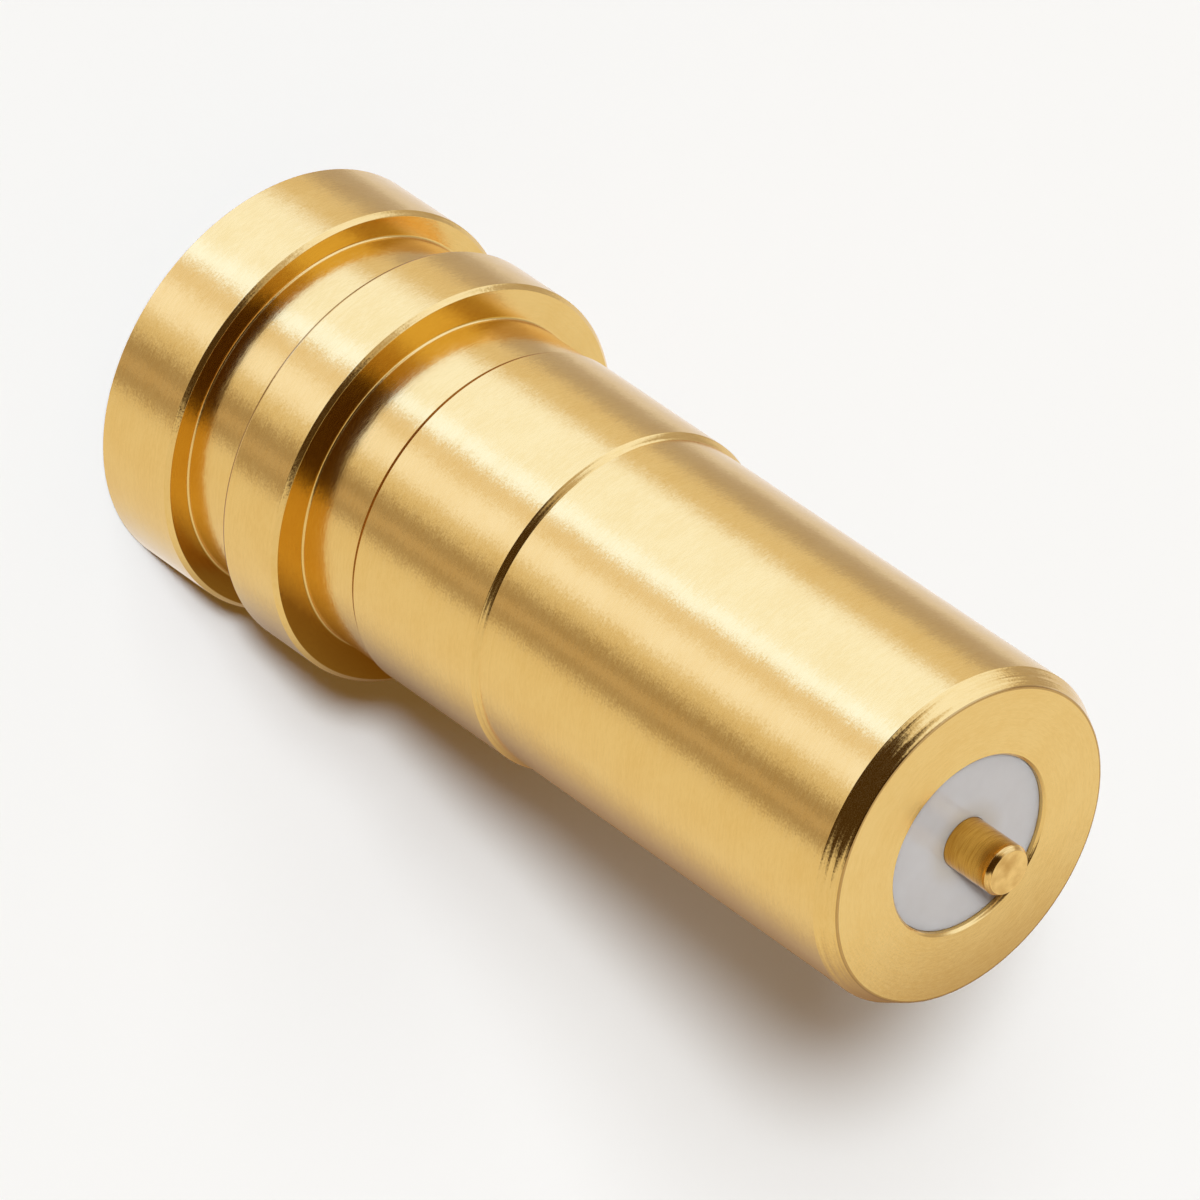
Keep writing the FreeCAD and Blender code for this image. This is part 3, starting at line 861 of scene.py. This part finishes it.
# Studio: a ring of soft boxes and dark cards round the connector, painted on the world. Azimuth 0 is the
# camera's side and turns towards +X; heights are the sine of the elevation. Later boxes lie over earlier
# ones.
studio = {
    "ambient": (0.80, 0.78, 0.76),
    "boxes": {
        "farWall": {"azimuth": 180, "half": 70, "edge": 24, "low": 0.05, "high": 1.2, "fade": 0.1,
                    "colour": (0.86, 0.87, 0.90)},
        "rightLow": {"azimuth": 96, "half": 34, "edge": 12, "low": -1.2, "high": 0.1, "fade": 0.1,
                     "colour": (0.83, 0.81, 0.78)},
        "backLow": {"azimuth": 166, "half": 30, "edge": 16, "low": -1.2, "high": 0.0, "fade": 0.1,
                    "colour": (0.80, 0.82, 0.90)},
        "leftLow": {"azimuth": -150, "half": 30, "edge": 12, "low": -1.2, "high": 0.1, "fade": 0.1,
                    "colour": (0.80, 0.80, 0.84)},
        "farLeft": {"azimuth": -178, "half": 16, "edge": 10, "low": -1.2, "high": 0.1, "fade": 0.1,
                    "colour": (0.95, 0.95, 0.98)},
        "greyGap": {"azimuth": -121, "half": 11, "edge": 9, "low": -1.2, "high": 0.3, "fade": 0.1,
                    "colour": (0.50, 0.47, 0.49)},
        "greyHigh": {"azimuth": -123, "half": 13, "edge": 12, "low": 0.2, "high": 0.85, "fade": 0.1,
                     "colour": (0.52, 0.49, 0.50)},
        "leftHigh": {"azimuth": -38, "half": 14, "edge": 10, "low": 0.0, "high": 1.2, "fade": 0.1,
                     "colour": (0.80, 0.80, 0.85)},
        "keyHigh": {"azimuth": -75, "half": 28, "edge": 8, "low": 0.0, "high": 1.2, "fade": 0.1,
                    "colour": (1.05, 1.25, 1.9)},
        "keyBox": {"azimuth": -51, "half": 29, "edge": 8, "low": -1.2, "high": 0.0, "fade": 0.1,
                   "colour": (1.08, 1.36, 2.3)},
        "keyEdge": {"azimuth": -28, "half": 5, "edge": 4, "low": -1.2, "high": 0.0, "fade": 0.05,
                    "colour": (1.15, 1.60, 3.3)},
        "dullLine": {"azimuth": -15, "half": 5, "edge": 4, "low": -1.2, "high": 0.1, "fade": 0.05,
                     "colour": (0.88, 0.88, 0.98)},
        "centreStrip": {"azimuth": 2, "half": 8, "edge": 6, "low": -1.2, "high": 0.1, "fade": 0.05,
                        "colour": (1.06, 1.22, 1.85)},
        "darkStripe": {"azimuth": 40, "half": 13, "edge": 7, "low": -1.2, "high": 0.1, "fade": 0.05,
                       "colour": (0.39, 0.33, 0.27)},
        "stripeLine": {"azimuth": 41, "half": 2, "edge": 3, "low": -1.2, "high": 0.1, "fade": 0.05,
                       "colour": (0.60, 0.52, 0.45)},
        "cardFade": {"azimuth": -42, "half": 10, "edge": 14, "low": 0.5, "high": 1.2, "fade": 0.1,
                     "colour": (0.56, 0.51, 0.46)},
        "cameraCard": {"azimuth": 9.5, "half": 40.5, "edge": 9, "low": -0.02, "high": 0.93, "fade": 0.05,
                       "colour": (0.06, 0.034, 0.009)},
    },
    "diffuseTint": (0.165, 0.082, 0.022),
    "background": (0.939, 0.931, 0.905),
}


# A direction lies in a box when the cosine of its angle from the box's azimuth is above that of the half
# width. Rays that light pale surfaces see the boxes through a warm tint, and the camera sees the background.
def makeStudio():
    world = bpy.data.worlds.new("studio")
    bpy.context.scene.world = world
    world.use_nodes = True
    tree = world.node_tree
    tree.nodes.clear()
    direction = addNode(tree, "TexCoord").outputs["Generated"]
    split = addNode(tree, "SeparateXYZ", {0: direction})
    rise = split.outputs["Z"]
    level = addNode(tree, "CombineXYZ", {0: split.outputs["X"], 1: split.outputs["Y"]}).outputs[0]
    level = vectorNode(tree, "NORMALIZE", level)
    colour = studio["ambient"]
    for box in studio["boxes"].values():
        turn = math.radians(box["azimuth"])
        closeness = vectorNode(tree, "DOT_PRODUCT", level, (math.sin(turn), -math.cos(turn), 0.0))
        outer = math.cos(math.radians(min(box["half"] + box["edge"], 180)))
        inner = math.cos(math.radians(max(box["half"] - box["edge"], 0)))
        sideways = smoothRange(tree, closeness, outer, inner)
        above = smoothRange(tree, rise, box["low"] - box["fade"], box["low"] + box["fade"])
        below = smoothRange(tree, rise, box["high"] + box["fade"], box["high"] - box["fade"])
        inside = mathNode(tree, "MULTIPLY", sideways, mathNode(tree, "MULTIPLY", above, below))
        colour = mixColour(tree, inside, colour, box["colour"])
    rays = addNode(tree, "LightPath").outputs
    tinted = vectorNode(tree, "MULTIPLY", colour, studio["diffuseTint"])
    colour = mixColour(tree, mathNode(tree, "MINIMUM", rays["Diffuse Depth"], 1.0), colour, tinted)
    colour = mixColour(tree, rays["Is Camera Ray"], colour, studio["background"])
    background = addNode(tree, "Background", {"Color": colour, "Strength": 1.0})
    addNode(tree, "OutputWorld", {"Surface": background.outputs[0]})


# Lamps that light the floor and throw the soft shadow: low ones in front and a weak one up to the left.
# "light" is each lamp's share of the red, green and blue light that reaches the floor. The rest is the
# world's warm light and the floor's own faint glow, which also reach the shadow and brown it.
lamps = {
    "strength": 3.27,
    "distance": 0.3,
    "places": {
        "frontLamp": {"azimuth": -6, "elevation": 35.5, "softness": 5, "light": (0.454, 0.495, 0.533)},
        "lowLamp": {"azimuth": -9.5, "elevation": 34, "softness": 13, "light": (0.303, 0.330, 0.355)},
        "leftLamp": {"azimuth": -27, "elevation": 52, "softness": 20, "light": (0.088, 0.092, 0.092)},
    },
}


# A lamp's strength is its largest share times the whole strength, divided by the sine of its elevation
def makeLamp(name, row):
    turn, lift = math.radians(row["azimuth"]), math.radians(row["elevation"])
    data = bpy.data.lights.new(name, "SUN")
    most = max(row["light"])
    data.energy = lamps["strength"] * most / math.sin(lift)
    data.angle = math.radians(row["softness"])
    data.color = [part / most for part in row["light"]]
    source = bpy.data.objects.new(name, data)
    bpy.context.scene.collection.objects.link(source)
    towards = np.array([math.sin(turn) * math.cos(lift), -math.cos(turn) * math.cos(lift), math.sin(lift)])
    side = np.cross([0, 0, 1], towards)
    side = side / np.linalg.norm(side)
    top = np.cross(towards, side)
    columns = zip(side, top, towards)
    rows = [[s, t, w, lamps["distance"] * w] for s, t, w in columns]
    source.matrix_world = Matrix(rows + [[0, 0, 0, 1]])
    source.visible_glossy = False


# Floor: pale and plain. Shiny metal sees the painted boxes through it.
floor = {
    "half": 900,
    "colour": (0.90, 0.895, 0.875),
    "glow": (0.052, 0.026, 0.0),
    "grainScale": 60.0,
    "grainShade": 0.995,
}


# A flat square at height 0; its corners are the four signs of the half width
def makeFloor():
    half = floor["half"]
    corners = half * np.array([[-1, -1, 0], [1, -1, 0], [1, 1, 0], [-1, 1, 0]], float)
    plane = meshPiece("floor", corners, np.arange(4), np.array([4]))
    material, tree = newMaterial("paleFloor")
    grain = noise(tree, addNode(tree, "TexCoord").outputs["Object"], floor["grainScale"])
    soft = tuple(value * floor["grainShade"] for value in floor["colour"])
    pale = addNode(tree, "BsdfDiffuse", {"Color": mixColour(tree, grain, soft, floor["colour"])})
    glow = addNode(tree, "Emission", {"Color": (*floor["glow"], 1)})
    surface = addNode(tree, "AddShader", {0: pale.outputs[0], 1: glow.outputs[0]})
    addNode(tree, "OutputMaterial", {"Surface": surface.outputs[0]})
    plane.data.materials.append(material)
    plane.visible_glossy = False


# Brown card that stands upright close behind the connector, on its right, and only shows in the gold: it
# darkens the gold's far side as a table in shade does. Its edges fade. "along" runs level in the card and
# "up" is the height.
card = {
    "azimuth": 138.3,
    "distance": 3.97,
    "along": (-8.0, 7.0),
    "up": (-1.5, 24.0),
    "fades": {"along": ((-8.0, -5.0), (6.0, 0.6)), "up": ((-0.5, 2.5), (22.0, 17.0))},
    "colour": (0.28, 0.17, 0.075),
    "lowColour": (0.17, 0.088, 0.02),
    "deepens": (9.5, 5.5),
}


# The card's corner at (a, h) is distance times the outward direction plus a times the level direction, at
# the height h
def makeCard():
    turn = math.radians(card["azimuth"])
    outward = np.array([math.sin(turn), -math.cos(turn), 0.0])
    level = np.array([outward[1], -outward[0], 0.0])
    (left, right), (low, high) = card["along"], card["up"]
    share = np.array([[left, low], [right, low], [right, high], [left, high]])
    corners = card["distance"] * outward + share[:, :1] * level + share[:, 1:] * np.array([0, 0, 1.0])
    plane = meshPiece("brownCard", corners, np.arange(4), np.array([4]))
    material, tree = newMaterial("brownCard")
    place = scaled(tree, addNode(tree, "TexCoord").outputs["Object"], 1000.0)
    opacity = 1.0
    across = vectorNode(tree, "DOT_PRODUCT", place, tuple(float(part) for part in level))
    height = addNode(tree, "SeparateXYZ", {0: place}).outputs["Z"]
    for value, axis in ((across, "along"), (height, "up")):
        for start, end in card["fades"][axis]:
            opacity = mathNode(tree, "MULTIPLY", opacity, smoothRange(tree, value, start, end))
    clear = addNode(tree, "BsdfTransparent")
    deep = smoothRange(tree, height, *card["deepens"])
    brown = addNode(tree, "Emission", {"Color": mixColour(tree, deep, card["colour"], card["lowColour"])})
    surface = addNode(tree, "MixShader", {0: opacity, 1: clear.outputs[0], 2: brown.outputs[0]})
    addNode(tree, "OutputMaterial", {"Surface": surface.outputs[0]})
    plane.data.materials.append(material)
    for kind in ("camera", "diffuse", "transmission", "volume_scatter", "shadow"):
        setattr(plane, "visible_" + kind, False)


makeStudio()
for name, row in lamps["places"].items():
    makeLamp(name, row)
makeFloor()
makeCard()
print("studio lit")

bpy.context.scene.view_settings.view_transform = "Standard"
